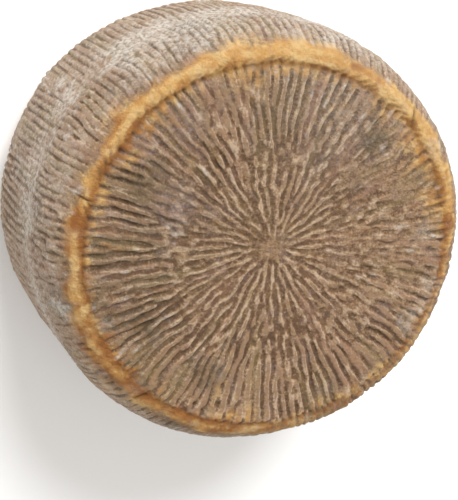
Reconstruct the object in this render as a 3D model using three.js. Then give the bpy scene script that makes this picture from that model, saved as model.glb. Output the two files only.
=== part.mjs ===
// A whole wheel of hard cheese, pressed and aged in a ribbed basket, lying on one of its two flat faces.
// The origin is the centre of the face that it rests on, and +Z is the wheel's axis.
// One solid of revolution, drawn slightly out of round, as a wheel made by hand is.
// The fine ribs of the rind are under 3 mm deep and belong to its surface finish, not to this solid.

import * as THREE from 'three';

// Driving dimensions, in millimetres
const longDiameter = 240; // widest way across, along X
const shortDiameter = 230; // narrowest way across, along Y
const wheelHeight = 128; // from face to face
const faceDiameter = 197; // flat face, out to the crevice that runs round it
const beadWidth = 9.2; // smooth rolled bead outside the crevice, measured over the shoulder
const beadRise = 1.1; // how far the bead stands proud of the shoulder
const creviceWidth = 2.6; // groove between the face and the bead
const creviceDepth = 1.8;
const seamHeight = 81; // where the upper and lower halves of the basket met, above the resting face
const seamWidth = 24;
const seamDepth = 1.5;
const shoulderSquareness = 5; // higher keeps the side straighter before it turns over the shoulder
const shoulderFullness = 1.4; // higher rounds the last of the shoulder more gently on to the face

// Fineness of the faceted solid
const stepsRound = 84;
const stepsUpSide = 44;

const halfHeight = wheelHeight / 2;
const faceRadius = faceDiameter / 2;
const meanDiameter = (longDiameter + shortDiameter) / 2;
const bulge = meanDiameter / 2 - faceRadius;

// The side before its bead and its seam: how far out it stands at a height above the wheel's middle
function barrelRadius(height) {
  const towardsFace = Math.min(Math.abs(height) / halfHeight, 1);
  const fullness = Math.pow(1 - Math.pow(towardsFace, shoulderSquareness), 1 / shoulderFullness);
  return faceRadius + bulge * fullness;
}

// The plain side from the lower face's edge to the upper one's, with steps that crowd at both shoulders
function plainSide() {
  const points = [];
  for (let step = 0; step <= stepsUpSide; step += 1) {
    const turn = (step / stepsUpSide - 0.5) * Math.PI;
    const height = halfHeight * Math.sin(turn);
    points.push(new THREE.Vector2(barrelRadius(height), halfHeight + height));
  }
  return points;
}

// How far each point lies along the line that the points draw
function lengthsAlong(points) {
  const lengths = [0];
  for (let i = 1; i < points.length; i += 1) {
    lengths.push(lengths[i - 1] + points[i].distanceTo(points[i - 1]));
  }
  return lengths;
}

// The bead's half-round rise, by the distance outside the crevice's outer lip
function beadAt(distance) {
  const across = distance / beadWidth;
  return across > 0 && across < 1 ? beadRise * Math.sin(Math.PI * across) : 0;
}

// The shallow valley left round the side where the two halves of the basket met
function seamAt(height) {
  const across = (height - seamHeight) / (seamWidth / 2);
  return Math.abs(across) < 1 ? seamDepth * 0.5 * (1 + Math.cos(Math.PI * across)) : 0;
}

// The side with both beads raised and the seam pressed in, no point of it past the planes of the faces
function finishedSide() {
  const side = plainSide();
  const lengths = lengthsAlong(side);
  const whole = lengths[lengths.length - 1];
  const lip = creviceWidth / 2;
  const points = [];
  side.forEach((point, i) => {
    if (lengths[i] < lip || whole - lengths[i] < lip) return;
    const along = side[i + 1].clone().sub(side[i - 1]).normalize();
    const outward = new THREE.Vector2(along.y, -along.x);
    const bead = beadAt(lengths[i] - lip) + beadAt(whole - lengths[i] - lip);
    const raised = point.clone().addScaledVector(outward, bead);
    raised.x -= seamAt(point.y);
    raised.y = Math.min(Math.max(raised.y, 0), wheelHeight);
    points.push(raised);
  });
  return points;
}

// From the axis, over the lower face, up the side and back over the upper face to the axis
function wheelProfile() {
  const lip = faceRadius - creviceWidth / 2;
  return [
    new THREE.Vector2(0, 0),
    new THREE.Vector2(lip, 0),
    new THREE.Vector2(faceRadius, creviceDepth),
    ...finishedSide(),
    new THREE.Vector2(faceRadius, wheelHeight - creviceDepth),
    new THREE.Vector2(lip, wheelHeight),
    new THREE.Vector2(0, wheelHeight),
  ];
}

function makeWheel() {
  const geometry = new THREE.LatheGeometry(wheelProfile(), stepsRound);
  geometry.rotateX(Math.PI / 2);
  geometry.scale(longDiameter / meanDiameter, shortDiameter / meanDiameter, 1);
  const rind = new THREE.MeshStandardMaterial({ color: 0x967b60, roughness: 0.9, metalness: 0 });
  const wheel = new THREE.Mesh(geometry, rind);
  wheel.name = 'cheese_wheel';
  return wheel;
}

const object = new THREE.Group();
object.add(makeWheel());

export default object;
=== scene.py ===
"""A whole wheel of hard cheese, moulded and aged in a ribbed basket, lying on one of its flat faces.

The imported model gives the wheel's place and its overall size. This script gives the wheel its rind: the
ribs that the basket pressed into it, the bead round each face, the seam round its side, and its colours.
"""

import logging
import math
from dataclasses import dataclass
from enum import Enum

import bmesh
import bpy
import numpy as np
from mathutils import Matrix, Vector


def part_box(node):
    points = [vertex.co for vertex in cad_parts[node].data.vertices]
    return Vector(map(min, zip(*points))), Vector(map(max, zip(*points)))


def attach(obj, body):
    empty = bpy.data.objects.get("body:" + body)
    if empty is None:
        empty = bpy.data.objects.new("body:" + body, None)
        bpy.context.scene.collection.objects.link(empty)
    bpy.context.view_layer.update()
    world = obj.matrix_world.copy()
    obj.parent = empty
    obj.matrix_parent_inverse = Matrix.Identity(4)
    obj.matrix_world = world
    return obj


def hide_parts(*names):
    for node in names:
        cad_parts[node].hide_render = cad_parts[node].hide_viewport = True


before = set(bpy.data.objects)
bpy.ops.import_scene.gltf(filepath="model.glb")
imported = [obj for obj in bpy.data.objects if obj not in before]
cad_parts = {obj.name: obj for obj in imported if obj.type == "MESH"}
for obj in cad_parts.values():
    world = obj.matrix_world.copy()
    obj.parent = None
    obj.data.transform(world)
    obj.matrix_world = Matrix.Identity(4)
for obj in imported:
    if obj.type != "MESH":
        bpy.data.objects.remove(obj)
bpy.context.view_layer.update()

MM = 0.001
FULL_TURN = 2 * math.pi
NEGLIGIBLE = 1e-9
Colour = tuple[float, float, float, float]
Node, Socket = bpy.types.Node, bpy.types.NodeSocket
log = logging.getLogger("cheese_wheel")


def smooth_step(values: np.ndarray, start: float, end: float) -> np.ndarray:
    """Rises smoothly from 0 at start to 1 at end.

    Args:
        values: The numbers to turn into shares.
        start: Where the rise begins.
        end: Where the rise is complete; it may be lower than start.

    Returns:
        The share for each value, from 0 to 1.
    """
    share = np.clip((values - start) / (end - start), 0.0, 1.0)
    return share * share * (3.0 - 2.0 * share)


def linear_colour(red: int, green: int, blue: int) -> Colour:
    """Turns a colour as a paint chart gives it, 0 to 255, into the linear colour that a shader takes.

    Args:
        red: Share of red.
        green: Share of green.
        blue: Share of blue.

    Returns:
        Red, green, blue and an alpha of 1.
    """
    shares = [level / 255 for level in (red, green, blue)]
    linear = [share / 12.92 if share <= 0.04045 else ((share + 0.055) / 1.055) ** 2.4 for share in shares]
    return linear[0], linear[1], linear[2], 1.0


@dataclass
class Outline:
    """The wheel's outline with no ribs on it: two flat faces, and a bulging side with rounded shoulders.

    A place on it is given by the way along it, from the lower face's middle to the upper face's middle.

    Attributes:
        height: From face to face.
        mean_radius: Half of the wheel's mean diameter.
        face_radius: How far each flat face reaches.
        squareness: Higher keeps the side straighter before it turns over the shoulder.
        fullness: Higher rounds the last of the shoulder more gently on to the face.
        samples: How many points describe the side.
    """

    height: float
    mean_radius: float
    face_radius: float = 98.5 * MM
    squareness: float = 5.0
    fullness: float = 1.4
    samples: int = 1600

    def __post_init__(self) -> None:
        """Works out the side's points and how far along the outline each one lies."""
        turn = np.linspace(-math.pi / 2, math.pi / 2, self.samples)
        half = self.height / 2
        above_middle = half * np.sin(turn)
        share = np.clip(1 - np.abs(np.sin(turn)) ** self.squareness, 0.0, 1.0) ** (1 / self.fullness)
        side_radius = self.face_radius + (self.mean_radius - self.face_radius) * share
        side_level = half + above_middle
        steps = np.hypot(np.diff(side_radius), np.diff(side_level))
        side_along = self.face_radius + np.concatenate([[0.0], np.cumsum(steps)])
        self.side_start = self.face_radius
        self.side_end = float(side_along[-1])
        self.length = self.side_end + self.face_radius
        self._along = np.concatenate([[0.0], side_along, [self.length]])
        self._radius = np.concatenate([[0.0], side_radius, [0.0]])
        self._level = np.concatenate([[0.0], side_level, [self.height]])
        run = np.gradient(side_radius), np.gradient(side_level)
        size = np.hypot(*run)
        self._out = np.concatenate([[0.0], run[1] / size, [0.0]])
        self._up = np.concatenate([[-1.0], -run[0] / size, [1.0]])

    def radius(self, along: np.ndarray) -> np.ndarray:
        """Gives the distance from the wheel's axis at each way along."""
        return np.interp(along, self._along, self._radius)

    def level(self, along: np.ndarray) -> np.ndarray:
        """Gives the height above the resting face at each way along."""
        return np.interp(along, self._along, self._level)

    def normal(self, along: np.ndarray) -> tuple[np.ndarray, np.ndarray]:
        """Gives which way the surface faces.

        Args:
            along: Ways along the outline.

        Returns:
            The outward and the upward part of the surface normal.
        """
        on_lower = along < self.side_start
        on_upper = along > self.side_end
        out = np.where(on_lower | on_upper, 0.0, np.interp(along, self._along, self._out))
        up = np.where(on_lower, -1.0, np.where(on_upper, 1.0, np.interp(along, self._along, self._up)))
        return out, up

    def along_at_level(self, level: float) -> float:
        """Gives the way along at which the side reaches a height above the resting face."""
        return float(np.interp(level, self._level[1:-1], self._along[1:-1]))


@dataclass
class RindGrid:
    """An even net of places over the whole rind, on which the relief and the colours are worked out.

    Attributes:
        outline: The outline that the net lies on.
        row_step: Distance between rows, which run round the wheel.
        columns: Places in each row.
        still_radius: Inside this radius, what is moved round turns no further than it does here.
    """

    outline: Outline
    row_step: float = 1.0 * MM
    columns: int = 2048
    still_radius: float = 8 * MM

    def __post_init__(self) -> None:
        """Lays out the rows."""
        rows = int(round(self.outline.length / self.row_step)) + 1
        self.along = np.linspace(0.0, self.outline.length, rows)
        self.radius = np.maximum(self.outline.radius(self.along), 0.25 * self.row_step)
        self.level = self.outline.level(self.along)
        self.waves = np.arange(self.columns // 2 + 1)
        self.turn = np.arange(self.columns) / self.columns * FULL_TURN
        self.degrees = np.arange(self.columns) / self.columns * 360

    def kernel(self, reach: float, rows: slice) -> np.ndarray:
        """Makes the matrix that blurs a net from row to row.

        Args:
            reach: How far the blur reaches.
            rows: The rows that it covers.

        Returns:
            The matrix, whose rows each add up to 1.
        """
        along = self.along[rows]
        weights = np.exp(-0.5 * ((along[:, None] - along[None, :]) / reach) ** 2)
        weights[weights < NEGLIGIBLE] = 0.0
        return weights / weights.sum(1, keepdims=True)

    def filtered(self, values: np.ndarray, gain: np.ndarray) -> np.ndarray:
        """Weighs the waves that each row is made of.

        Args:
            values: One number for each place.
            gain: Weight of each whole number of waves round the wheel, for each row.

        Returns:
            The weighed net.
        """
        return np.fft.irfft(np.fft.rfft(values, axis=1) * gain, n=self.columns, axis=1)

    def blurred(self, values: np.ndarray, along: float, across: float) -> np.ndarray:
        """Blurs a net.

        Args:
            values: One number for each place.
            along: How far the blur reaches from row to row.
            across: How far it reaches round the wheel.

        Returns:
            The blurred net.
        """
        gain = np.exp(-0.5 * np.minimum(self.waves[None, :] * across / self.radius[:, None], 6.0) ** 2)
        values = self.filtered(values, gain)
        gain = np.exp(-0.5 * (FULL_TURN * np.fft.rfftfreq(len(self.along), self.row_step) * along) ** 2)
        return np.fft.irfft(np.fft.rfft(values, axis=0) * gain[:, None], n=len(self.along), axis=0)

    def noise(
        self, rng: np.random.Generator, along: float, across: float, worms: bool = False
    ) -> np.ndarray:
        """Makes a smooth random net with a mean of 0 and a spread of 1.

        Args:
            rng: Source of random numbers.
            along: Size of its blots from row to row.
            across: Size of its blots round the wheel.
            worms: Whether the blots are all of one size, and run into each other as worms do.

        Returns:
            One number for each place.
        """
        white = rng.standard_normal((len(self.along), self.columns))
        values = self.blurred(white, along, across)
        if worms:
            wider = 1.7
            values -= self.blurred(white, wider * along, wider * across)
        middle = (self.radius > self.outline.face_radius / 2)[:, None]
        spread = np.sqrt((values**2 * middle).sum() / (middle.sum() * self.columns))
        return np.clip(values / spread, -3.0, 3.0)

    def moved_round(self, values: np.ndarray, distance: np.ndarray, rows: slice) -> np.ndarray:
        """Moves what a net holds round the wheel.

        Args:
            values: A net over these rows.
            distance: How far each place looks for its value, for these rows.
            rows: The rows that the net covers.

        Returns:
            The net after the move.
        """
        turn = distance / np.maximum(self.radius[rows], self.still_radius)[:, None]
        place = (np.arange(self.columns)[None, :] + turn / FULL_TURN * self.columns) % self.columns
        low = np.floor(place).astype(int) % self.columns
        share = place - np.floor(place)
        row = np.arange(len(values))[:, None]
        return values[row, low] * (1 - share) + values[row, (low + 1) % self.columns] * share

    def at(self, values: np.ndarray, along: np.ndarray, turn: np.ndarray) -> np.ndarray:
        """Reads a net at any places.

        Args:
            values: One number for each place of the net.
            along: Ways along the outline.
            turn: Angles round the wheel, in radians.

        Returns:
            The value at each of them.
        """
        row = np.clip(along / self.outline.length * (len(self.along) - 1), 0, len(self.along) - 1)
        column = (turn / FULL_TURN * self.columns) % self.columns
        low_row = np.minimum(row.astype(int), len(self.along) - 2)
        low = column.astype(int) % self.columns
        high = (low + 1) % self.columns
        down, over = row - low_row, column - np.floor(column)
        first = values[low_row, low] * (1 - over) + values[low_row, high] * over
        second = values[low_row + 1, low] * (1 - over) + values[low_row + 1, high] * over
        return first * (1 - down) + second * down


@dataclass(frozen=True)
class RibPattern:
    """The ribs that one part of the basket leaves: side by side, and forking where the wheel widens.

    Attributes:
        rim_pitch: Distance between neighbouring ribs at the face's rim and on the side.
        middle_pitch: Distance between neighbouring ribs near the middle of a face.
        run: How far a rib keeps straight.
        passes: How often the pattern is combed; more leaves fewer forks and ends.
        looseness: How much the distance between ribs varies.
    """

    rim_pitch: float = 5.1 * MM
    middle_pitch: float = 4.0 * MM
    run: float = 5.0 * MM
    passes: int = 7
    looseness: float = 0.20

    def drawn(self, grid: RindGrid, rows: slice, rng: np.random.Generator) -> np.ndarray:
        """Combs random numbers into ribs that run from row to row.

        Args:
            grid: The net that it is drawn on.
            rows: The rows of this part of the basket.
            rng: Source of random numbers.

        Returns:
            A net over these rows, 1 along the tops of the ribs and -1 along the valleys.
        """
        radius = grid.radius[rows]
        towards_rim = np.clip(radius / grid.outline.face_radius, 0.0, 1.2)
        pitch = self.middle_pitch + (self.rim_pitch - self.middle_pitch) * towards_rim
        wanted = (FULL_TURN * radius / pitch)[:, None]
        gain = np.exp(-0.5 * ((grid.waves[None, :] - wanted) / (self.looseness * wanted + 0.8)) ** 2)
        comb = grid.kernel(self.run, rows)
        ribs = rng.standard_normal((len(radius), grid.columns))
        for _ in range(self.passes):
            ribs = comb @ grid.filtered(ribs, gain)
            ribs = np.tanh(1.3 * ribs / ribs.std(1, keepdims=True))
        whole = np.zeros((len(radius), grid.columns), complex)
        whole[:, : len(grid.waves)] = np.fft.rfft(ribs, axis=1) * gain
        swing = 2 * np.fft.ifft(whole, axis=1)
        strength = np.abs(swing)
        return swing.real / np.sqrt(strength**2 + (0.35 * strength.mean(1, keepdims=True)) ** 2)


@dataclass(frozen=True)
class Stain:
    """A stained place on the upper half of the wheel.

    Attributes:
        angle: Where it is round the wheel, in degrees from +X.
        outside: How far outside the upper crevice, in millimetres; less than 0 is on the face.
        size: How far it spreads, in millimetres.
        strength: How strong it is in its middle.
    """

    angle: float
    outside: float
    size: float
    strength: float

    def mask(self, grid: RindGrid) -> np.ndarray:
        """Gives the stain's strength at each place of a net.

        Args:
            grid: The net.

        Returns:
            The net of strengths.
        """
        along = grid.outline.side_end - self.outside * MM
        turn = np.radians((grid.degrees - self.angle + 180) % 360 - 180)
        round_it = turn[None, :] * grid.outline.radius(np.array([along]))
        away = np.hypot(round_it, (grid.along - along)[:, None]) / (self.size * MM)
        return self.strength * np.exp(-0.5 * away**2)


class Part(Enum):
    """The parts of the basket, from the middle of the lower face to the middle of the upper one."""

    LOWER_FACE = "lower face"
    LOWER_SIDE = "lower side"
    UPPER_SIDE = "upper side"
    UPPER_FACE = "upper face"


@dataclass(frozen=True)
class Sway:
    """A side of the wheel towards which the upper crevice lies further out or further in.

    Attributes:
        angle: Which side that is, in degrees round the wheel from +X.
        distance: How much further out the crevice lies there; less than 0 is further in.
    """

    angle: float
    distance: float

    def at(self, turn: np.ndarray) -> np.ndarray:
        """Gives how much further out the crevice lies at each angle round the wheel, in radians."""
        return self.distance * (0.5 + 0.5 * np.cos(turn - math.radians(self.angle))) ** 2


@dataclass
class Rind:
    """The relief and the colour masks of the whole rind.

    Attributes:
        grid: The net that they are worked out on.
        seed: Starts the random numbers.
        face_depth: How deep the valleys between the ribs are on a face.
        upper_depth: How deep they are on the side above the seam.
        lower_depth: How deep they are on the side below it.
        core_radius: Where the middle of each face has a pattern of its own.
        core_edge: Over how far that pattern takes over from the rest of the face.
        crevice_half_width: Half the width of the groove round each face.
        crevice_depth: Its depth.
        bead_width: Width of the smooth bead outside the crevice.
        bead_rise: How far it stands proud.
        seam_level: Height of the seam above the resting face.
        seam_width: Width of its shallow valley.
        seam_depth: Depth of that valley.
        bare_width: Width of the band along the seam in which the ribs die out.
        face_drop: How far the tops of the ribs lie under the face's plane on average.
        sways: Where the upper crevice lies further out or further in.
        strands: How many slanting strands the edge of each bead shows.
        strand_rise: How far outside the crevice a strand has moved on by its own width.
        notch_angles: Where the upper bead is notched, in degrees round the wheel from +X.
        notch_width: Half the width of a notch, in degrees.
        notch_depth: Its depth.
        streak_height: How far the fine streaks on the beads stand proud.
        streak_contrast: How much the streaks and the ribs' casts differ in colour.
        bare_crest: How far up a rib's flank the colour of a place without ribs is taken from.
        stains: The places of the upper half that are made darker, the broadest round 186 degrees on the
            upper face.
        ochre_patches: Where the ochre reaches further on to the upper face or the side.
        bare_patches: Where the upper bead has little ochre on it.
        overrun_patches: Where ribs run over the upper bead.
        worn_patches: Where the ribs of the upper half are worn into lumps.
        rusty_patches: Where the upper bead is rustier, or less so.
        flecked_patches: Where pale flecks lie on the upper face.
        frosted_patches: Where pale mould is thickest on the upper half.
        filmed_patches: Where lilac mould is thickest on the upper face.
    """

    grid: RindGrid
    seed: int = 11
    face_depth: float = 1.25 * MM
    upper_depth: float = 1.0 * MM
    lower_depth: float = 0.8 * MM
    core_radius: float = 48 * MM
    core_edge: float = 3 * MM
    crevice_half_width: float = 1.3 * MM
    crevice_depth: float = 1.5 * MM
    bead_width: float = 9.2 * MM
    bead_rise: float = 0.55 * MM
    seam_level: float = 81 * MM
    seam_width: float = 24 * MM
    seam_depth: float = 1.5 * MM
    bare_width: float = 13 * MM
    face_drop: float = 0.35 * MM
    sways: tuple[Sway, ...] = (Sway(325, 2.2 * MM), Sway(86, -2.1 * MM))
    strands: int = 118
    strand_rise: float = 3.059 * MM
    notch_angles: tuple[float, ...] = (182.5, 61.0, 250.0, 318.0)
    notch_width: float = 0.5
    notch_depth: float = 1.4 * MM
    streak_height: float = 0.16 * MM
    streak_contrast: float = 0.22
    bare_crest: float = 0.62
    stains: tuple[Stain, ...] = (
        Stain(65, -19, 6, 1.0), Stain(186, -26, 28, 0.42), Stain(225, -20, 20, 0.24),
    )
    ochre_patches: tuple[Stain, ...] = (
        Stain(53, -4, 9, 0.8), Stain(34, -4, 7, 0.7), Stain(71, -3, 7, 0.7), Stain(120, -2, 8, 0.6),
        Stain(166, -5, 5, 0.8), Stain(151, -6, 6, 0.6), Stain(159, 10, 7, 0.5), Stain(119, 11, 9, 0.34),
        Stain(99, 11, 10, 0.3), Stain(226, 15, 10, 0.26), Stain(240, 17, 14, 0.38),
    )
    bare_patches: tuple[Stain, ...] = (Stain(350, 4, 42, 0.55), Stain(308, 4, 30, 0.45))
    overrun_patches: tuple[Stain, ...] = (Stain(20, 4, 38, 0.6), Stain(325, 4, 46, 0.7))
    worn_patches: tuple[Stain, ...] = (
        Stain(20, -30, 24, 0.65), Stain(68, -24, 14, 0.4), Stain(168, -32, 10, 0.4),
        Stain(203, 34, 30, 0.45),
    )
    rusty_patches: tuple[Stain, ...] = (
        Stain(160, 2, 14, 0.16), Stain(178, 3, 12, -0.24), Stain(222, 3, 46, 0.34),
        Stain(92, 4, 55, -0.34),
    )
    flecked_patches: tuple[Stain, ...] = (
        Stain(73, -8, 6, 0.9), Stain(61, -20, 6, 0.8), Stain(93, -14, 7, 0.6), Stain(188, -46, 4, 1.2),
        Stain(150, -42, 2.5, 1.2),
    )
    frosted_patches: tuple[Stain, ...] = (
        Stain(131, 40, 20, 0.45), Stain(96, 38, 26, 0.4), Stain(84, -24, 22, 0.26),
        Stain(162, 42, 16, -0.34),
    )
    filmed_patches: tuple[Stain, ...] = (
        Stain(174, -42, 8, 0.55), Stain(146, -17, 8, 0.4), Stain(160, -12, 7, 0.4),
    )

    def __post_init__(self) -> None:
        """Works out the relief and the masks."""
        self.rng = np.random.default_rng(self.seed)
        self.seam_along = self.grid.outline.along_at_level(self.seam_level)
        self.on_upper = (self.grid.along > self.seam_along)[:, None]
        self.outside = self._from_rim()
        self.bead_reach = self._bead_reach()
        self.on_faces = smooth_step(self.outside, self.crevice_half_width, -self.crevice_half_width)
        near, far = self.core_radius - 12 * MM, self.core_radius + 8 * MM
        self.coreward = smooth_step(self.grid.radius, far, near)[:, None]
        self.overrun = self._spots(self.overrun_patches)
        self.worn = self._spots(self.worn_patches)
        self.edge_noise = self._noise(5, 3)
        self.wide_noise = self._noise(16, 16)
        self.crest, highlight_band = self._crests()
        self.bead = self._bead_mask()
        ribbed = self._ribbed_share()
        valleys = self._rib_depth() * ribbed * (1 - self.crest)
        groove, notches = self._groove(), self._notches()
        self.relief = self._bead_rise() + self._seam() + self._lumps() - valleys
        self.relief -= self.crevice_depth * groove + self.notch_depth * notches
        self.relief -= self.face_drop * self.on_faces
        ochre, rusty, bloom = self._ochre(), self._rusty(), self._bloom()
        tint = self._noise(12, 1.5)
        darkening = self._darkening()
        streaks = self._noise(1, 6)
        self.relief += self.streak_height * self.bead * streaks
        self.masks = {
            # How far up a rib each place lies; the finish paints shade in the low places between the ribs.
            "crest": (1 - (1 - self.crest) * ribbed) * ribbed + (1 - ribbed) * self.bare_crest,
            # Where the finish paints a highlight along the ribs' crests.
            "highlight_band": highlight_band * ribbed,
            "ochre": ochre,
            "rusty": rusty,
            "bloom": bloom,
            # Where the finish paints shade down the crevice and in the notches.
            "crevice": np.clip(groove + notches, 0.0, 1.0),
            "tint": 0.5 + self.streak_contrast * tint,
            "darkening": darkening,
            "grain": 0.5 + self.streak_contrast * streaks,
            "film": np.clip(self._spots(self.filmed_patches), 0.0, 1.0),
        }

    def _noise(self, along: float, across: float, worms: bool = False) -> np.ndarray:
        """Draws a smooth random net with blots so many millimetres long and wide."""
        return self.grid.noise(self.rng, along * MM, across * MM, worms)

    def _spots(self, stains: tuple[Stain, ...]) -> np.ndarray:
        """Gives the strength of several stains together at each place."""
        return sum(stain.mask(self.grid) for stain in stains)

    def _from_rim(self) -> np.ndarray:
        """Measures from the nearer face's crevice.

        Returns:
            How far each place lies outside the crevice; less than 0 is on the face.
        """
        along, outline = self.grid.along[:, None], self.grid.outline
        outwards = sum(sway.at(self.grid.turn) for sway in self.sways)
        return np.minimum(along - outline.side_start, outline.side_end - along - outwards[None, :])

    def _bead_reach(self) -> np.ndarray:
        """Widens the upper bead where its crevice lies further in.

        Returns:
            How far the bead reaches from its crevice at each place.
        """
        widening = 1.5
        inwards = sum(np.maximum(-sway.at(self.grid.turn), 0) for sway in self.sways)
        return self.bead_width + widening * inwards[None, :] * self.on_upper

    def _rib_ends(self, outside: float) -> np.ndarray:
        """Takes the ribs at one distance from the crevice, and carries them on to every row of their half.

        Args:
            outside: The distance outside the crevice; less than 0 is on the face.

        Returns:
            0 in line with a valley to 1 in line with a rib.
        """
        along, outline = self.grid.along, self.grid.outline
        lower = int(np.searchsorted(along, outline.side_start + outside))
        upper = int(np.searchsorted(along, outline.side_end - outside))
        on_lower = (along < outline.length / 2)[:, None]
        return np.where(on_lower, self.crest[lower], self.crest[upper])

    def _bead_mask(self) -> np.ndarray:
        """Marks the beads, with edges that the ribs' ends run up to.

        Returns:
            1 on the beads and 0 off them.
        """
        inner = smooth_step(self.outside, -0.6 * MM, 1.0 * MM)
        wander = 0.7 * self.edge_noise + 0.8 * self.wide_noise
        edge = self.bead_reach + (wander - 1.6 * self._rib_ends(self.bead_width + 4 * MM) - 1.2) * MM
        outer = smooth_step(self.outside, edge + 3.4 * MM, edge + 0.4 * MM)
        return inner * outer * (1 - self.overrun)

    def _parts(self) -> dict[Part, slice]:
        """Divides the rows among the parts of the basket.

        Returns:
            The rows of each part.
        """
        along, outline = self.grid.along, self.grid.outline
        first = int(np.searchsorted(along, outline.side_start))
        seam = int(np.searchsorted(along, self.seam_along))
        last = int(np.searchsorted(along, outline.side_end))
        return {
            Part.LOWER_FACE: slice(0, first),
            Part.LOWER_SIDE: slice(first, seam),
            Part.UPPER_SIDE: slice(seam, last),
            Part.UPPER_FACE: slice(last, len(along)),
        }

    def _combed(self) -> np.ndarray:
        """Draws the ribs of every part of the basket and makes them wander.

        Returns:
            About -1 along the valleys to 1 along the ribs.
        """
        grid = self.grid
        on_side = RibPattern(rim_pitch=4.3 * MM, run=6.0 * MM)
        on_face = RibPattern()
        in_core = RibPattern(run=6.5 * MM)
        restless = np.exp(0.4 * self._noise(20, 20)) * (0.3 + 0.7 * self.on_faces)
        wander = 1.2 * MM * restless * self._noise(9, 11)
        wander += 0.40 * MM * (1 + 0.9 * self.coreward) * restless * self._noise(2.6, 2.2)
        core_edge = self.core_radius + 3.5 * MM * self._noise(8, 6)
        half_edge = self.core_edge / 2
        outside_core = smooth_step(grid.radius[:, None], core_edge - half_edge, core_edge + half_edge)
        ribs = np.empty((len(grid.along), grid.columns))
        for part, rows in self._parts().items():
            if part in (Part.LOWER_SIDE, Part.UPPER_SIDE):
                drawn = on_side.drawn(grid, rows, self.rng)
            else:
                drawn = on_face.drawn(grid, rows, self.rng) * outside_core[rows]
                drawn += in_core.drawn(grid, rows, self.rng) * (1 - outside_core[rows])
            ribs[rows] = grid.moved_round(drawn, wander[rows], rows)
        return ribs

    def _crests(self) -> tuple[np.ndarray, np.ndarray]:
        """Breaks the ribs into lumps here and there, and shapes their tops.

        Returns:
            The ribs, 0 in a valley to 1 at a rib's crest, and the band along the edges of their crests
            where the finish paints a highlight.
        """
        ribs = self._combed()
        blobs = 0.75 * self._noise(1.7, 1, worms=True)
        confused = self._confused()
        ribs = (ribs * (1 - confused) + blobs * confused) / np.hypot(1 - confused, confused)
        ribs += 0.24 * self._noise(1.9, 0.9)
        thinness = self._thinness()
        crest = smooth_step(ribs, thinness - 0.62, thinness + 0.55)
        gaps = smooth_step(self._noise(1.8, 1.4), 0.9, 2.0) * (0.4 + 0.6 * self.on_faces)
        bridged = np.clip(1.05 + 0.22 * self._noise(5, 1.6), 0.45, 1.0) * (1 - 0.12 * self.coreward)
        # A band along the edges of the ribs' crests, which the finish paints as a highlight.
        highlight_band = np.exp(-(((ribs - np.minimum(thinness + 0.45, 0.95)) / 0.30) ** 2))
        highlight_band *= np.clip(0.78 + 0.40 * self._noise(4, 1.2), 0.0, 1.0)
        return (1 - bridged * (1 - crest)) * (1 - 0.7 * gaps), highlight_band * (1 - gaps)

    def _confused(self) -> np.ndarray:
        """Gives how much lumps replace the ribs: most round the core of each face, and in patches.

        Returns:
            A share from 0 to 1.
        """
        grid = self.grid
        away = (grid.radius[:, None] - self.core_radius - 3 * MM) / (8 * MM)
        round_core = 0.70 * np.exp(-0.5 * away**2) * self.on_faces
        in_core = 0.44 * smooth_step(grid.radius, self.core_radius, 0.6 * self.core_radius)
        in_middle = 0.45 * smooth_step(grid.radius, 18 * MM, 5 * MM)
        middle = (in_core + in_middle)[:, None] * self.on_faces
        patches = 0.5 * smooth_step(self._noise(8, 7), 0.5, 1.9) * (0.5 + 0.5 * self.on_faces)
        patches += self.worn
        uneven = np.clip(0.75 + 0.4 * self._noise(9, 9), 0.1, 1.3)
        return np.clip(np.maximum(round_core, middle) * uneven + patches + 0.10, 0.0, 0.88)

    def _thinness(self) -> np.ndarray:
        """Gives how narrow the ribs' tops are: broad on the side and near the rim, and thin in the core.

        Returns:
            A number, higher where the tops are thinner.
        """
        grid = self.grid
        radius, rim = grid.radius[:, None], grid.outline.face_radius
        inwards = smooth_step(radius, self.core_radius + 22 * MM, self.core_radius)
        near_rim = smooth_step(radius, rim - 16 * MM, rim - 2 * MM)
        level = self.on_faces * (0.26 * inwards - 0.26 * near_rim) + (1 - self.on_faces) * -0.36
        return level + 0.22 * self._noise(16, 9) + 0.10 * self._noise(12, 2)

    def _ribbed_share(self) -> np.ndarray:
        """Gives how strongly ribs show at each place: hardly on the beads and along the seam.

        Returns:
            A share from 0 to 1.
        """
        from_seam = np.abs(self.grid.along - self.seam_along)[:, None]
        edge = self.bare_width / 2 + 3.2 * MM * self._noise(5, 2.4)
        beside_seam = smooth_step(from_seam, edge - 3 * MM, edge + 3.5 * MM)
        off_middle = smooth_step(self.grid.radius, 1.5 * MM, 7 * MM)[:, None]
        worn = 1 - 0.35 * smooth_step(self._noise(6, 5), 1.0, 2.3) - 0.45 * self.worn
        return (1 - 0.84 * self.bead) * (0.15 + 0.85 * beside_seam) * (0.35 + 0.65 * off_middle) * worn

    def _rib_depth(self) -> np.ndarray:
        """Gives the depth of the valleys, which varies over the wheel.

        Returns:
            A depth for each place.
        """
        along, seam = self.grid.along[:, None], self.seam_along
        above_seam = smooth_step(along, seam - 5 * MM, seam + 5 * MM)
        side_depth = self.lower_depth + (self.upper_depth - self.lower_depth) * above_seam
        near, far = self.core_radius - 12 * MM, self.core_radius + 6 * MM
        in_core = smooth_step(self.grid.radius, far, near)[:, None]
        depth = self.face_depth * self.on_faces * (1 - 0.42 * in_core) + side_depth * (1 - self.on_faces)
        return depth * np.clip(1 + 0.25 * self._noise(7, 4), 0.4, 1.7)

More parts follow.
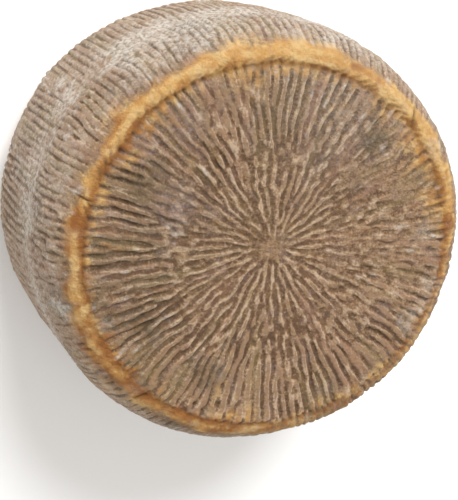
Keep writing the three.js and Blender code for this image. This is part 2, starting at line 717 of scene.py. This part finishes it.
    def _bead_rise(self) -> np.ndarray:
        """Gives the half-round rise of the beads, which is uneven.

        Returns:
            A height for each place.
        """
        edge = self.bead_reach + 0.8 * MM * self.wide_noise
        across = np.clip((self.outside - self.crevice_half_width) / edge, 0.0, 1.0)
        uneven = 1 + 0.2 * self.wide_noise + 0.25 * self._noise(3, 3.5) - 0.6 * self.overrun
        return self.bead_rise * np.clip(uneven, 0.2, 1.6) * np.sin(math.pi * across)

    def _groove(self) -> np.ndarray:
        """Marks the crevice, which is deep at the ends of the valleys and shallow at the ends of the ribs.

        Returns:
            1 at the bottom of the crevice and 0 away from it.
        """
        centre = 0.5 * MM * self.edge_noise + 0.4 * MM * self.wide_noise
        away = np.abs(self.outside - centre)
        openness = np.clip(1.0 - 0.62 * self._rib_ends(-3 * MM) + 0.25 * self.wide_noise, 0.15, 1.1)
        groove = 0.85 * smooth_step(away, self.crevice_half_width * 1.3, 0.0) * openness
        return np.maximum(groove, self._strand_gaps()) * (1 - 0.7 * self.overrun)

    def _strand_gaps(self) -> np.ndarray:
        """Marks the slanting gaps between the strands that the inner edge of each bead shows.

        Returns:
            1 in the gaps and 0 away from them.
        """
        lean = (self.outside + 0.4 * MM * self.edge_noise) / self.strand_rise
        strand = (self.grid.turn[None, :] / FULL_TURN * self.strands + lean + 0.6 * self.wide_noise) % 1.0
        gap = np.exp(-(((strand - 0.5) / 0.24) ** 2))
        near = smooth_step(np.abs(self.outside - 1.5 * MM), 3.2 * MM, 1.2 * MM)
        return gap * near * np.clip(0.50 + 0.30 * self.edge_noise - 0.18 * self.wide_noise, 0.0, 0.95)

    def _notches(self) -> np.ndarray:
        """Marks the notches that cross the upper bead.

        Returns:
            1 in the middle of a notch and 0 away from it.
        """
        rim = self.bead_reach
        across_bead = smooth_step(self.outside, -0.5 * MM, 2 * MM) * self.on_upper
        across_bead = across_bead * smooth_step(self.outside, rim + 1 * MM, rim - 3 * MM)
        turn = self.grid.degrees[None, :] + 1.1 * self.edge_noise
        notches = np.zeros(turn.shape)
        for angle in self.notch_angles:
            away = np.abs((turn - angle + 180) % 360 - 180)
            notches = np.maximum(notches, np.exp(-0.5 * (away / self.notch_width) ** 2))
        return notches * across_bead

    def _seam(self) -> np.ndarray:
        """Gives the shallow valley where the two halves of the basket met.

        Returns:
            A height for each place, less than 0 in the valley.
        """
        across = (self.grid.level[:, None] - self.seam_level) / (self.seam_width / 2)
        across = np.where(self.outside > 0, np.clip(across + 0.12 * self.wide_noise, -1, 1), 1)
        return -self.seam_depth * 0.5 * (1 + np.cos(math.pi * across))

    def _lumps(self) -> np.ndarray:
        """Gives the wheel's unevenness, broad and fine.

        Returns:
            A height for each place.
        """
        broad = 0.35 * MM * self._noise(22, 22)
        middling = 0.18 * MM * self._noise(5, 5)
        fine = 0.14 * MM * self._noise(2.4, 1.6)
        return broad + middling + fine * (0.4 + 0.6 * self.crest)

    def _ochre(self) -> np.ndarray:
        """Gives how strongly each place is stained ochre: the beads, and the ribs that run into them.

        Returns:
            A share from 0 to 1.
        """
        outside, crest, rim = self.outside, self.crest, self.bead_reach
        reach = (7 + 4.5 * self._noise(14, 10) + 4 * self._noise(3.5, 2.2)) * MM
        on_face = smooth_step(-outside, np.maximum(reach, 1 * MM), 0.0) * (0.10 + 0.62 * crest)
        fade = (2.2 * self._noise(4, 3) + 1.4 * self.wide_noise) * MM
        outer = smooth_step(outside, rim + 3 * MM + fade, rim - 5.5 * MM + 0.5 * fade)
        bare = self._spots(self.bare_patches)
        spread = np.where(outside < 0, on_face, outer * (1 - bare * (1.2 - 0.5 * crest)))
        streaks = smooth_step(self._noise(11, 1.8), 1.2, 2.4) * crest * self.on_faces
        near_rim = smooth_step(outside, -45 * MM, -15 * MM)
        patches = self._spots(self.ochre_patches) * (0.45 + 0.55 * crest)
        return np.clip(spread + patches + 0.45 * streaks * near_rim, 0.0, 1.0)

    def _rusty(self) -> np.ndarray:
        """Gives how rusty the ochre is: most along the crevice, and in blotches.

        Returns:
            A share from 0 to 1.
        """
        along_crevice = smooth_step(np.abs(self.outside - 0.5 * MM), 4.5 * MM, 0.5 * MM)
        blotches = self._noise(3, 5) + self._noise(1.6, 1.6)
        patches = self._spots(self.rusty_patches)
        return np.clip(0.22 + patches + 0.42 * along_crevice + 0.16 * blotches, 0.0, 1.0)

    def _darkening(self) -> np.ndarray:
        """Gives how far each place is darkened towards olive: in random patches, and at the listed places.

        Returns:
            A share from 0 to 1.
        """
        patches = 0.45 * smooth_step(self._noise(8, 8), 0.6, 2.2)
        stains = self._spots(self.stains) * (0.8 + 0.25 * self._noise(3, 3))
        return np.clip(patches + stains, 0.0, 1.0)

    def _bloom(self) -> np.ndarray:
        """Gives how thickly pale mould lies: along the seam, and in patches.

        Returns:
            A share from 0 to 1.
        """
        crest, rim = self.crest, self.bead_reach
        from_seam = (self.grid.along - self.seam_along)[:, None]
        along_seam = np.exp(-0.5 * ((from_seam - 2.5 * MM * self.wide_noise) / (8.5 * MM)) ** 2)
        along_seam = along_seam * np.clip(0.75 + 0.25 * self._noise(6, 6), 0.2, 1.1)
        patches = smooth_step(self._noise(6, 5), 1.1, 2.4)
        flecked = 2.0 * self._spots(self.flecked_patches)
        flecks = smooth_step(self._noise(1.8, 0.9) + flecked, 1.6, 2.5) * crest
        on_side = 1 - self.on_faces
        veil = on_side * smooth_step(self.outside, rim, rim + 8 * MM) * (0.08 + 0.34 * crest)
        frost = self._spots(self.frosted_patches) * (0.6 + 0.4 * crest)
        bloom = 0.9 * along_seam + veil + frost + (0.4 + 0.2 * on_side) * patches + 0.85 * flecks
        return np.clip(bloom * (1 - 0.75 * self.bead), 0.0, 1.0)


@dataclass(frozen=True)
class Stretch:
    """A stretch of the outline whose rows all have the same number of places.

    Attributes:
        steps: How many places there are round the wheel.
        rows: The ways along the outline at which its rows lie.
    """

    steps: int
    rows: np.ndarray

    @classmethod
    def through(cls, steps: int, *stops: tuple[float, float]) -> "Stretch":
        """Lays rows out between stops.

        Args:
            steps: How many places there are round the wheel.
            stops: Ways along the outline and about how far apart the rows after each are, in millimetres.

        Returns:
            The stretch.
        """
        rows = [np.array([stops[0][0]])]
        for (start, gap), (end, _) in zip(stops, stops[1:]):
            rows.append(np.linspace(start, end, max(1, round((end - start) / gap)) + 1)[1:])
        return cls(steps, np.concatenate(rows) * MM)


@dataclass(frozen=True)
class FlatMap:
    """How the rind is laid out flat in a square: two discs for the faces, and the side as two strips.

    Attributes:
        scale: The square's widths for each metre of rind.
        lower_across: Where the middle of the lower face lies, across the square.
        upper_across: Where the middle of the upper face lies, across the square.
        faces_up: Where both of them lie, up the square.
        margin_across: From the square's side to the strips.
        margin_up: From the square's bottom to the first strip.
        strip_step: From the first strip to the second.
    """

    scale: float = 1.9
    lower_across: float = 0.20
    upper_across: float = 0.60
    faces_up: float = 0.805
    margin_across: float = 0.01
    margin_up: float = 0.005
    strip_step: float = 0.305


@dataclass
class CheeseWheel:
    """The whole wheel, as one closed body.

    Attributes:
        long_radius: Half of its widest diameter, along X.
        short_radius: Half of its narrowest diameter, along Y.
        height: From face to face.
        name: Name of the finished piece.
        doublings: How many times a spun sector is doubled to go the whole way round.
        weld: Vertices closer than this are one.
    """

    long_radius: float
    short_radius: float
    height: float
    name: str = "ribbed_rind"
    doublings: int = 3
    weld: float = 0.001 * MM

    def __post_init__(self) -> None:
        """Makes the outline and works out the rind on it."""
        self.mean_radius = (self.long_radius + self.short_radius) / 2
        self.outline = Outline(height=self.height, mean_radius=self.mean_radius)
        self.grid = RindGrid(self.outline)
        self.rind = Rind(self.grid)

    def _stretches(self) -> list[Stretch]:
        """Divides the outline into stretches, finest on the upper half and round the beads.

        Returns:
            The stretches in order along the outline, with a gap between each and the next.
        """
        ways = self.outline.side_start, self.outline.side_end, self.outline.length
        rim, end, length = (way / MM for way in ways)
        lip = 1.6
        bead = lip + self.rind.bead_width / MM + 1.5
        fine_side = (rim + 95, 2.2), (end - bead, 1.4), (end - lip, 0.8), (end + lip, 2.1), (length - 60, 0)
        return [
            Stretch.through(80, (0, 2.0), (8, 0)),
            Stretch.through(160, (10, 2.2), (28, 0)),
            Stretch.through(320, (30, 3.0), (57, 0)),
            Stretch.through(640, (60, 3.4), (rim - 4, 0)),
            Stretch.through(800, (rim - lip, 1.0), (rim + lip, 1.7), (rim + bead, 3.4), (rim + 92, 0)),
            Stretch.through(960, *fine_side),
            Stretch.through(640, (length - 58.5, 1.5), (length - 37.5, 0)),
            Stretch.through(400, (length - 36, 1.7), (length - 17.3, 0)),
            Stretch.through(200, (length - 15.8, 1.6), (length - 7.8, 0)),
            Stretch.through(96, (length - 6.2, 1.6), (length, 0)),
        ]

    def _spun(self, rows: np.ndarray, steps: int) -> bpy.types.Mesh:
        """Spins a part of the outline into a sector, and doubles that until it goes the whole way round.

        Args:
            rows: Ways along the outline.
            steps: How many places there are round the wheel.

        Returns:
            A mesh that goes the whole way round.
        """
        bm = bmesh.new()
        way = bm.verts.layers.float.new("along")
        profile = zip(self.outline.radius(rows), self.outline.level(rows))
        points = [bm.verts.new((radius, 0.0, level)) for radius, level in profile]
        for point, along in zip(points, rows):
            point[way] = along
        edges = [bm.edges.new(pair) for pair in zip(points, points[1:])]
        angle = FULL_TURN / 2**self.doublings
        bmesh.ops.spin(
            bm,
            geom=points + edges,
            cent=(0, 0, 0),
            axis=(0, 0, 1),
            dvec=(0, 0, 0),
            angle=angle,
            steps=steps // 2**self.doublings,
            use_merge=False,
            use_duplicate=False,
        )
        for doubling in range(self.doublings):
            copied = bmesh.ops.duplicate(bm, geom=bm.verts[:] + bm.edges[:] + bm.faces[:])["geom"]
            turned = [part for part in copied if isinstance(part, bmesh.types.BMVert)]
            turn = Matrix.Rotation(angle * 2**doubling, 3, "Z")
            bmesh.ops.rotate(bm, verts=turned, cent=(0, 0, 0), matrix=turn)
        bmesh.ops.remove_doubles(bm, verts=bm.verts[:], dist=self.weld)
        ring = bpy.data.meshes.new("ring")
        bm.to_mesh(ring)
        bm.free()
        return ring

    def _plain_body(self) -> bmesh.types.BMesh:
        """Joins rings of different fineness into a closed body whose vertices keep their way along.

        Returns:
            The body, with its faces pointing out.
        """
        bm = bmesh.new()
        bounds = []
        for stretch in self._stretches():
            ring = self._spun(stretch.rows, stretch.steps)
            bm.from_mesh(ring)
            bpy.data.meshes.remove(ring)
            bounds.append((stretch.rows[0], stretch.rows[-1]))
        way = bm.verts.layers.float["along"]
        ends = [edge for edge in bm.edges if edge.is_boundary]
        slack = 0.1 * MM
        for (_, last), (first, _) in zip(bounds, bounds[1:]):
            low, high = last - slack, first + slack
            bmesh.ops.bridge_loops(bm, edges=[edge for edge in ends if low < edge.verts[0][way] < high])
        bmesh.ops.recalc_face_normals(bm, faces=bm.faces[:])
        return bm

    def mesh(self) -> bpy.types.Object:
        """Makes the wheel's mesh: the plain body with the rind's relief, masks and map on it.

        Returns:
            The finished object, at the origin.
        """
        bm = self._plain_body()
        data = bpy.data.meshes.new(self.name)
        bm.to_mesh(data)
        bm.free()
        count = len(data.vertices)
        places = np.empty(count * 3)
        data.vertices.foreach_get("co", places)
        places = places.reshape(-1, 3)
        along = np.empty(count)
        data.attributes["along"].data.foreach_get("value", along)
        turn = np.arctan2(places[:, 1], places[:, 0]) % FULL_TURN
        self._raise_relief(data, along, turn)
        self._write_masks(data, along, turn)
        self._write_map(data, along, turn)
        data.attributes.remove(data.attributes["along"])
        data.polygons.foreach_set("use_smooth", np.ones(len(data.polygons), bool))
        data.update()
        piece = bpy.data.objects.new(self.name, data)
        bpy.context.scene.collection.objects.link(piece)
        return piece

    def _raise_relief(self, data: bpy.types.Mesh, along: np.ndarray, turn: np.ndarray) -> None:
        """Moves each vertex out or in by the rind's relief, and draws the wheel out of round.

        Args:
            data: The plain body.
            along: Each vertex's way along the outline.
            turn: Each vertex's angle round the wheel.
        """
        height = self.grid.at(self.rind.relief, along, turn)
        out, up = self.outline.normal(along)
        radius = self.outline.radius(along) + out * height
        level = np.clip(self.outline.level(along) + up * height, 0.0, self.height)
        places = np.stack(
            [
                radius * np.cos(turn) * self.long_radius / self.mean_radius,
                radius * np.sin(turn) * self.short_radius / self.mean_radius,
                level,
            ],
            axis=1,
        )
        data.vertices.foreach_set("co", places.ravel())

    def _write_masks(self, data: bpy.types.Mesh, along: np.ndarray, turn: np.ndarray) -> None:
        """Stores the rind's masks as attributes that the finish reads.

        Args:
            data: The mesh.
            along: Each vertex's way along the outline.
            turn: Each vertex's angle round the wheel.
        """
        for name, values in self.rind.masks.items():
            layer = data.attributes.new(name, "FLOAT", "POINT")
            layer.data.foreach_set("value", self.grid.at(values, along, turn).astype(np.float32))

    def _write_map(self, data: bpy.types.Mesh, along: np.ndarray, turn: np.ndarray) -> None:
        """Lays the rind out flat, and stores where each corner of each face lies on the map.

        Args:
            data: The mesh.
            along: Each vertex's way along the outline.
            turn: Each vertex's angle round the wheel.
        """
        corners = np.empty(len(data.loops), np.int32)
        data.loops.foreach_get("vertex_index", corners)
        starts = np.empty(len(data.polygons), np.int32)
        sizes = np.empty(len(data.polygons), np.int32)
        data.polygons.foreach_get("loop_start", starts)
        data.polygons.foreach_get("loop_total", sizes)
        face = np.repeat(np.arange(len(starts)), sizes)
        middle_along = np.add.reduceat(along[corners], starts) / sizes
        corner_turn = turn[corners]
        first_turn = corner_turn[starts][face]
        corner_turn = first_turn + (corner_turn - first_turn + math.pi) % FULL_TURN - math.pi
        middle_turn = (np.add.reduceat(corner_turn, starts) / sizes)[face]
        corner_turn -= np.floor(middle_turn / FULL_TURN) * FULL_TURN
        middle_turn %= FULL_TURN
        flat = FlatMap()
        rim, end = self.outline.side_start, self.outline.side_end
        corner_along = along[corners]
        on_lower = (middle_along < rim)[face]
        on_upper = (middle_along > end)[face]
        reach = np.where(on_lower, corner_along, self.outline.length - corner_along) * flat.scale
        disc_across = np.where(on_lower, flat.lower_across, flat.upper_across) + reach * np.cos(corner_turn)
        disc_up = flat.faces_up + reach * np.sin(corner_turn)
        second = middle_turn > math.pi
        round_it = (corner_turn - np.where(second, math.pi, 0.0)) * self.mean_radius
        strip_across = flat.margin_across + round_it * flat.scale
        strip_up = flat.margin_up + (corner_along - rim) * flat.scale
        strip_up += np.where(second, flat.strip_step, 0.0)
        across = np.where(on_lower | on_upper, disc_across, strip_across)
        up = np.where(on_lower | on_upper, disc_up, strip_up)
        layer = data.uv_layers.new(name="OFBake")
        layer.uv.foreach_set("vector", np.stack([across, up], axis=1).astype(np.float32).ravel())

    def dress(self, piece: bpy.types.Object, finish: "RindFinish") -> None:
        """Puts the rind's finish on the wheel and places it in the frame.

        Args:
            piece: The finished mesh.
            finish: The rind's finish.
        """
        piece.data.materials.append(finish.material())
        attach(piece, "root")
        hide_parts("cheese_wheel")


class NodeBoard:
    """A material that is built up node by node, with patterns that keep still on their object."""

    def __init__(self, name: str) -> None:
        """Starts a material with nothing on it yet.

        Args:
            name: Name of the material.
        """
        self.material = bpy.data.materials.new(name)
        self.material.use_nodes = True
        self.tree = self.material.node_tree
        self.shader = self.tree.nodes["Principled BSDF"]
        self.place = self.add("ShaderNodeTexCoord").outputs["Object"]

    def add(self, kind: str, inputs: dict[str | int, object] | None = None, **settings: object) -> Node:
        """Adds a node.

        Args:
            kind: The node's type.
            inputs: What each named or numbered input takes: a value, or another node's output.
            settings: The node's own settings.

        Returns:
            The new node.
        """
        node = self.tree.nodes.new(kind)
        for name, value in settings.items():
            setattr(node, name, value)
        for name, value in (inputs or {}).items():
            if isinstance(value, Socket):
                self.tree.links.new(value, node.inputs[name])
            else:
                node.inputs[name].default_value = value
        return node

    def mask(self, name: str) -> Socket:
        """Gives a mask that is stored on the mesh."""
        return self.add("ShaderNodeAttribute", attribute_name=name).outputs["Fac"]

    def noise(self, scale: float, detail: float = 4.0, roughness: float = 0.55) -> Socket:
        """Gives a cloudy pattern from 0 to 1.

        Args:
            scale: Blots in each metre.
            detail: How many finer patterns are laid over it.
            roughness: How strong those are.

        Returns:
            The pattern's value.
        """
        inputs = {"Vector": self.place, "Scale": scale, "Detail": detail, "Roughness": roughness}
        return self.add("ShaderNodeTexNoise", inputs).outputs["Fac"]

    def ranged(
        self, value: Socket, low: float, high: float, to: tuple[float, float] = (0.0, 1.0)
    ) -> Socket:
        """Stretches a value so that low and high reach the two ends of a new range.

        Args:
            value: The value to stretch.
            low: What becomes the range's first end.
            high: What becomes its second end.
            to: The new range.

        Returns:
            The stretched value, which stays inside the range.
        """
        inputs = {"Value": value, "From Min": low, "From Max": high, "To Min": to[0], "To Max": to[1]}
        node = self.add("ShaderNodeMapRange", inputs, clamp=True, interpolation_type="SMOOTHSTEP")
        return node.outputs["Result"]

    def maths(self, operation: str, first: Socket, second: Socket | float) -> Socket:
        """Works out one sum on two values."""
        node = self.add("ShaderNodeMath", {0: first, 1: second}, operation=operation, use_clamp=False)
        return node.outputs[0]

    def mixed(self, share: Socket, first: Socket | Colour, second: Socket | Colour) -> Socket:
        """Lays one colour over another.

        Args:
            share: How much of the second colour shows.
            first: The colour underneath.
            second: The colour on top.

        Returns:
            The mixed colour.
        """
        node = self.add("ShaderNodeMix", data_type="RGBA", blend_type="MIX", clamp_factor=True)
        for name, value in (("Factor_Float", share), ("A_Color", first), ("B_Color", second)):
            socket = next(s for s in node.inputs if s.identifier == name)
            if isinstance(value, Socket):
                self.tree.links.new(value, socket)
            else:
                socket.default_value = value
        return next(s for s in node.outputs if s.identifier == "Result_Color")


@dataclass(frozen=True)
class RindFinish:
    """The colours and the fine surface of an aged natural rind, with painted shade and a painted highlight.

    Attributes:
        name: Name of the material.
        valley: Colour between the ribs, darkened as painted shade in the valleys.
        flank: Colour of the ribs' sides.
        highlight_colour: Painted highlight along the edges of the ribs' crests.
        ruddy: Colour of the pinker ribs.
        sallow: Colour of the greener ribs.
        olive: Colour of the darker patches.
        lilac: Colour of the thin mould that lies in patches.
        bloom: Colour of the pale mould along the seam and in flecks.
        ochre: Colour of the beads.
        rust: Colour of the darker places on the beads.
        straw: Colour of the paler places on the beads.
        crevice: Colour down in the crevice and the notches: painted shade, with the brown of the marks
            along the bead's inner edge.
        roughness: How matt the rind is.
        shine: How strongly it mirrors light.
        crumb_scale: Crumbs in each metre of its finest relief.
        crumb_height: How strong that relief is.
    """

    name: str = "aged_rind"
    valley: Colour = linear_colour(104, 78, 56)
    flank: Colour = linear_colour(162, 131, 102)
    highlight_colour: Colour = linear_colour(206, 180, 152)
    ruddy: Colour = linear_colour(172, 130, 106)
    sallow: Colour = linear_colour(150, 132, 92)
    olive: Colour = linear_colour(92, 80, 60)
    lilac: Colour = linear_colour(170, 150, 146)
    bloom: Colour = linear_colour(218, 211, 201)
    ochre: Colour = linear_colour(213, 163, 94)
    rust: Colour = linear_colour(158, 98, 44)
    straw: Colour = linear_colour(231, 195, 134)
    crevice: Colour = linear_colour(116, 78, 36)
    roughness: float = 0.85
    shine: float = 0.3
    crumb_scale: float = 480.0
    crumb_height: float = 3.4 * MM

    def _ribs(self, board: NodeBoard) -> Socket:
        """Colours the ribs with painted shade in their valleys and a painted highlight along their crests'
        edges, each rib with a cast of its own.

        Args:
            board: Where the nodes go.

        Returns:
            The colour.
        """
        speckle = board.ranged(board.noise(800.0, 2.0, 0.7), 0.3, 0.7, (-0.22, 0.22))
        mottle = board.ranged(board.noise(380.0, 4.0, 0.65), 0.3, 0.7, (-0.26, 0.26))
        uneven = board.maths("ADD", speckle, mottle)
        tint = board.mask("tint")
        raised = board.maths("ADD", board.mask("crest"), uneven)
        # Painted shade: the low places between the ribs are darkened towards the valley colour.
        colour = board.mixed(board.ranged(raised, -0.05, 0.85), self.valley, self.flank)
        colour = board.mixed(board.ranged(tint, 0.5, 0.95, (0.0, 0.38)), colour, self.ruddy)
        colour = board.mixed(board.ranged(tint, 0.5, 0.05, (0.0, 0.38)), colour, self.sallow)
        # Painted highlight along the edges of the ribs' crests.
        highlight_band = board.maths("ADD", board.mask("highlight_band"), uneven)
        return board.mixed(board.ranged(highlight_band, 0.12, 1.0), colour, self.highlight_colour)

    def _moulds(self, board: NodeBoard, colour: Socket) -> Socket:
        """Lays the darker patches and the thin lilac mould over a colour.

        Args:
            board: Where the nodes go.
            colour: The colour underneath.

        Returns:
            The colour with its patches.
        """
        cloudy = board.ranged(board.noise(260.0), 0.3, 0.6, (0.35, 1.0))
        darkening = board.maths("MULTIPLY", board.mask("darkening"), cloudy)
        colour = board.mixed(darkening, colour, self.olive)
        film = board.ranged(board.noise(70.0, 9.0, 0.85), 0.50, 0.70, (0.0, 0.38))
        patchy = board.ranged(board.noise(300.0, 5.0, 0.7), 0.35, 0.6)
        film = board.maths("ADD", film, board.maths("MULTIPLY", board.mask("film"), patchy))
        return board.mixed(film, colour, self.lilac)

    def _bead(self, board: NodeBoard) -> Socket:
        """Mixes the ochre of the beads.

        Args:
            board: Where the nodes go.

        Returns:
            The colour.
        """
        uneven = board.ranged(board.noise(420.0, 5.0, 0.75), 0.35, 0.65, (-0.12, 0.12))
        grain = board.ranged(board.mask("grain"), 0.1, 0.9, (0.24, -0.24))
        rusty = board.maths("ADD", board.mask("rusty"), board.maths("ADD", uneven, grain))
        colour = board.mixed(board.ranged(rusty, 0.0, 1.1), self.ochre, self.rust)
        cloudy = board.maths("SUBTRACT", board.noise(150.0, 4.0, 0.6), board.maths("MULTIPLY", grain, 0.4))
        cloudy = board.maths("SUBTRACT", cloudy, board.maths("MULTIPLY", rusty, 0.25))
        return board.mixed(board.ranged(cloudy, 0.36, 0.64, (0.0, 0.8)), colour, self.straw)

    def material(self) -> bpy.types.Material:
        """Builds the finish.

        Returns:
            The material.
        """
        board = NodeBoard(self.name)
        colour = self._moulds(board, self._ribs(board))
        patchy = board.ranged(board.noise(200.0, 5.0, 0.65), 0.35, 0.62)
        stain = board.maths("ADD", board.mask("ochre"), board.ranged(patchy, 0.0, 1.0, (-0.28, 0.10)))
        colour = board.mixed(board.ranged(stain, -0.1, 1.0, (0.0, 0.96)), colour, self._bead(board))
        powder = board.ranged(board.noise(420.0, 5.0, 0.75), 0.36, 0.62, (0.1, 1.0))
        colour = board.mixed(board.maths("MULTIPLY", board.mask("bloom"), powder), colour, self.bloom)
        # Painted shade down the crevice and in the notches, with the brown of the marks there.
        colour = board.mixed(board.maths("MULTIPLY", board.mask("crevice"), 0.85), colour, self.crevice)
        crumb = board.noise(self.crumb_scale, 5.0, 0.75)
        relief = {"Height": crumb, "Strength": 1.0, "Distance": self.crumb_height}
        bump = board.add("ShaderNodeBump", relief)
        board.tree.links.new(colour, board.shader.inputs["Base Color"])
        board.tree.links.new(bump.outputs["Normal"], board.shader.inputs["Normal"])
        board.shader.inputs["Roughness"].default_value = self.roughness
        board.shader.inputs["Specular IOR Level"].default_value = self.shine
        return board.material


@dataclass(frozen=True)
class Studio:
    """The pale floor, the soft lights and the camera.

    Attributes:
        lens: Focal length, in millimetres.
        film: Long side of the picture in the camera, in millimetres.
        distance: From the camera to the point that it looks at.
        azimuth: Which way round the wheel the camera stands; 0 looks along +Y.
        elevation: How high above the horizon it stands.
        roll: How far it is turned about its own line of sight.
        aim: The point that it looks at, from the middle of the wheel.
        floor_reach: How far the floor goes each way.
        floor_tones: The two tones that the floor is clouded with.
        floor_roughness: How matt it is.
        air_colour: Colour of the even light from all round.
        air_strength: How strong that light is.
    """

    lens: float = 100.0
    film: float = 36.0
    distance: float = 777.0 * MM
    azimuth: float = -108.9
    elevation: float = 63.0
    roll: float = 128.2
    aim: tuple[float, float, float] = (8.0 * MM, -18.2 * MM, 0.0)
    floor_reach: float = 9.0
    floor_tones: tuple[Colour, Colour] = ((0.90, 0.90, 0.90, 1.0), (0.94, 0.94, 0.94, 1.0))
    floor_roughness: float = 0.9
    air_colour: Colour = (1.0, 0.975, 0.94, 1.0)
    air_strength: float = 0.75

    def _facing(self, back: Vector, roll: float) -> Matrix:
        """Gives the turn of something that looks against a direction.

        Args:
            back: From what is looked at to the thing that looks.
            roll: Turn about that line, in radians.

        Returns:
            The rotation.
        """
        return back.to_track_quat("Z", "Y").to_matrix() @ Matrix.Rotation(roll, 3, "Z")

    def _direction(self, azimuth: float, elevation: float) -> Vector:
        """Gives the direction towards a place in the sky, both angles in degrees."""
        turn, rise = math.radians(azimuth), math.radians(elevation)
        return Vector((math.sin(turn) * math.cos(rise), -math.cos(turn) * math.cos(rise), math.sin(rise)))

    def camera(self, middle: Vector) -> None:
        """Sets the camera up.

        Args:
            middle: The middle of the wheel.
        """
        data = bpy.data.cameras.new("camera")
        data.lens = self.lens
        data.sensor_width = self.film
        camera = bpy.data.objects.new("camera", data)
        back = self._direction(self.azimuth, self.elevation)
        place = Matrix.Translation(middle + Vector(self.aim) + back * self.distance)
        camera.matrix_world = place @ self._facing(back, math.radians(self.roll)).to_4x4()
        bpy.context.scene.collection.objects.link(camera)
        bpy.context.scene.camera = camera

    def lamp(self, name: str, azimuth: float, elevation: float, spread: float, strength: float) -> None:
        """Adds one large, far and soft light.

        Args:
            name: Name of the light.
            azimuth: Which way round the wheel it stands, in degrees.
            elevation: How high it stands, in degrees.
            spread: How large it looks from the wheel, in degrees; larger gives softer shadows.
            strength: How strong it is.
        """
        data = bpy.data.lights.new(name, "SUN")
        data.angle = math.radians(spread)
        data.energy = strength
        light = bpy.data.objects.new(name, data)
        light.matrix_world = self._facing(self._direction(azimuth, elevation), 0.0).to_4x4()
        bpy.context.scene.collection.objects.link(light)

    def floor(self) -> None:
        """Lays the pale floor."""
        bm = bmesh.new()
        bmesh.ops.create_grid(bm, x_segments=1, y_segments=1, size=self.floor_reach)
        data = bpy.data.meshes.new("floor")
        bm.to_mesh(data)
        bm.free()
        floor = bpy.data.objects.new("floor", data)
        board = NodeBoard("pale_floor")
        tone = board.mixed(board.noise(3.0), *self.floor_tones)
        board.tree.links.new(tone, board.shader.inputs["Base Color"])
        board.shader.inputs["Roughness"].default_value = self.floor_roughness
        data.materials.append(board.material)
        bpy.context.scene.collection.objects.link(floor)

    def air(self) -> None:
        """Sets the even light that comes from all round."""
        world = bpy.data.worlds.new("studio")
        world.use_nodes = True
        background = world.node_tree.nodes["Background"]
        background.inputs["Color"].default_value = self.air_colour
        background.inputs["Strength"].default_value = self.air_strength
        bpy.context.scene.world = world
        bpy.context.scene.view_settings.view_transform = "Standard"

    def set_up(self, middle: Vector) -> None:
        """Sets up everything round the wheel.

        Args:
            middle: The middle of the wheel.
        """
        self.camera(middle)
        self.floor()
        self.air()
        self.lamp("key", azimuth=-170.0, elevation=38.0, spread=32.0, strength=4.0)
        self.lamp("fill", azimuth=-75.0, elevation=60.0, spread=60.0, strength=0.2)


def corners(box: tuple[Vector, Vector]) -> list[list[float]]:
    """Turns a box into plain lists of numbers."""
    return [list(corner) for corner in box]


def main() -> None:
    """Builds the wheel and what stands round it, and logs how many triangles the wheel has."""
    logging.basicConfig(level=logging.INFO, format="%(name)s: %(message)s")
    low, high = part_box("cheese_wheel")
    Studio().set_up((low + high) / 2)
    wheel = CheeseWheel(long_radius=high.x, short_radius=high.y, height=high.z - low.z)
    piece = wheel.mesh()
    wheel.dress(piece, RindFinish())
    triangles = sum(len(face.vertices) - 2 for face in piece.data.polygons)
    log.info("%s: %d triangles", piece.name, triangles)


if __name__ == "__main__":
    main()
